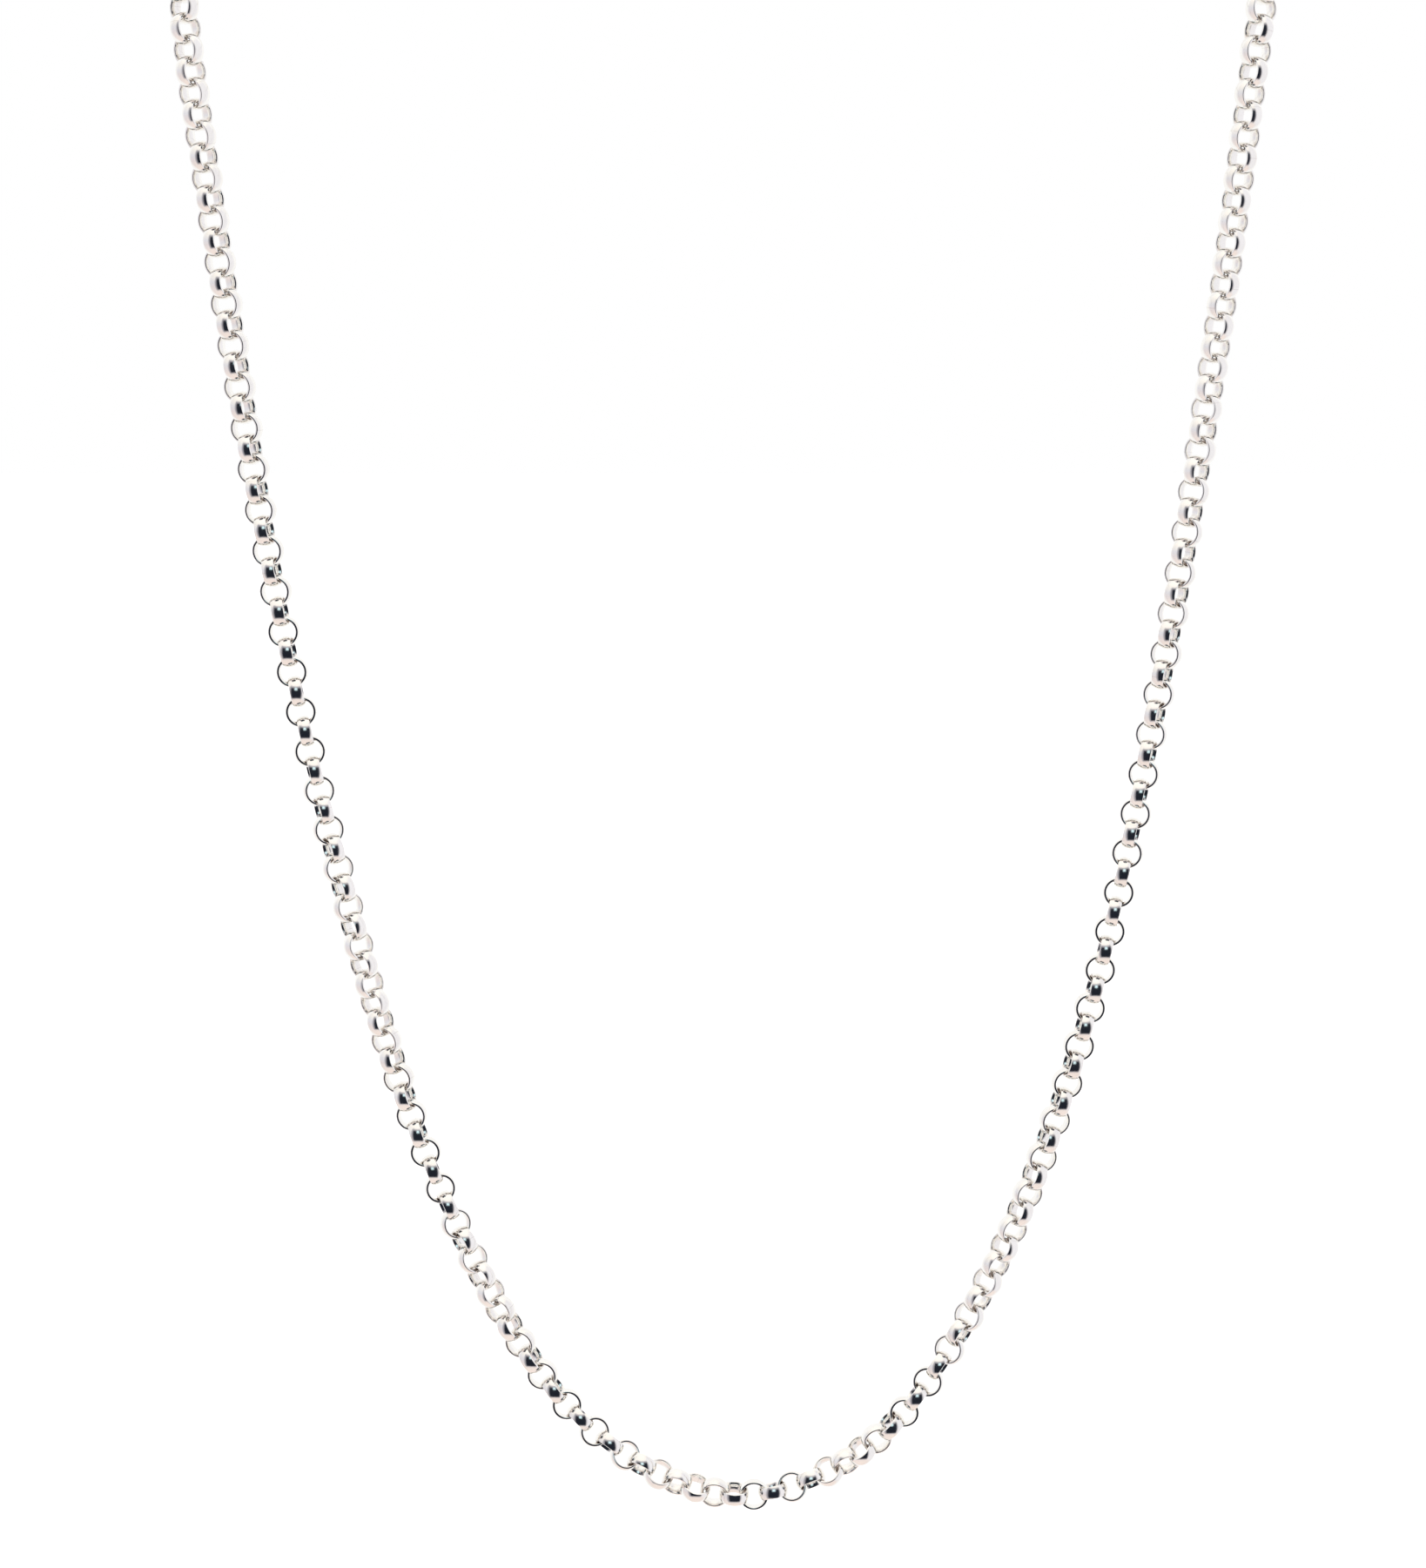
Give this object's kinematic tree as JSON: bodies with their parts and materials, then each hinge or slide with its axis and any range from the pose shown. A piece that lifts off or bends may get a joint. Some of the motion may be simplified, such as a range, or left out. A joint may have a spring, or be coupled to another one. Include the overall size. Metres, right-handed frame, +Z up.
{
  "type": "rolo chain necklace",
  "caption": "Worn-length rolo neck chain of round flat-wire links, closed at the nape by a plain ring clasp with an eye.",
  "frame": {"origin": "centre of the clasp's ring at the nape, where the hung chain is held", "axes": "+Z up, -Y towards the front of the neck and the viewer, +X to the viewer's right"},
  "size_m": [0.1279, 0.062, 0.2099],
  "materials": {
    "links": "polished sterling silver",
    "clasp": "polished sterling silver"
  },
  "bodies": {
    "root": {"chain_left": "links", "chain_right": "links", "clasp": "clasp"}
  },
  "joints": []
}
